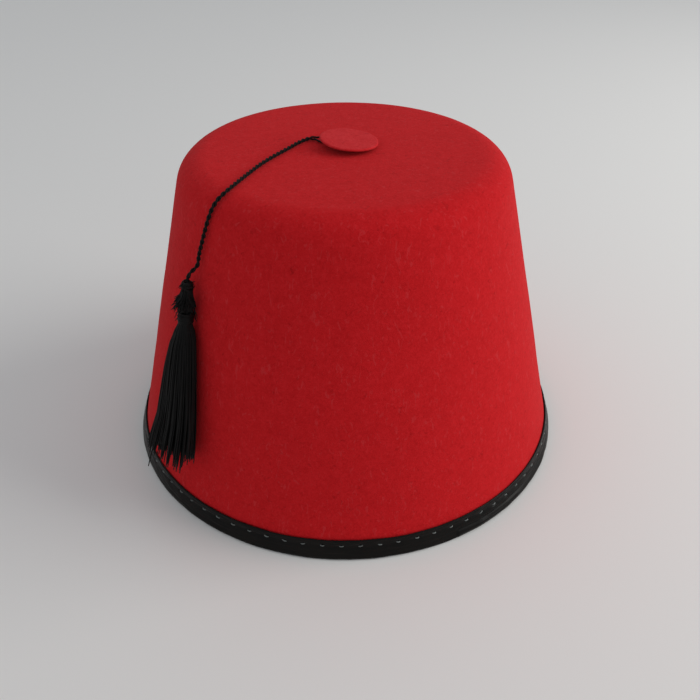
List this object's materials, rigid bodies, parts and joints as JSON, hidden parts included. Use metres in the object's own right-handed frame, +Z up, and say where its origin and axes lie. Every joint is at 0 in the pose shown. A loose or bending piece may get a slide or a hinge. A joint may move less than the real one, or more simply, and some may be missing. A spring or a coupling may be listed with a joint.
{
  "type": "fez hat",
  "caption": "Stiff tapered felt fez with a flat top, a bound rim, a felt button and a cord that hangs down the side to a thread tassel.",
  "frame": {"origin": "centre of the rim, on the surface that the hat stands on", "axes": "+Z up through the flat top, -Y the front, and the tassel hangs at the front left, towards -X and -Y"},
  "size_m": [0.187, 0.187, 0.1273],
  "materials": {
    "felt": "matt red pressed felt with a short fibre nap",
    "binding_tape": "black smooth tape, soft satin, with a row of machine stitches",
    "thread": "black twisted thread, slightly glossy"
  },
  "bodies": {
    "root": {"crown": "felt", "button": "felt", "binding": "binding_tape", "cord": "thread", "tassel_knot": "thread", "tassel_frill": "thread", "tassel_tie": "thread", "tassel_skirt": "thread"}
  },
  "joints": []
}
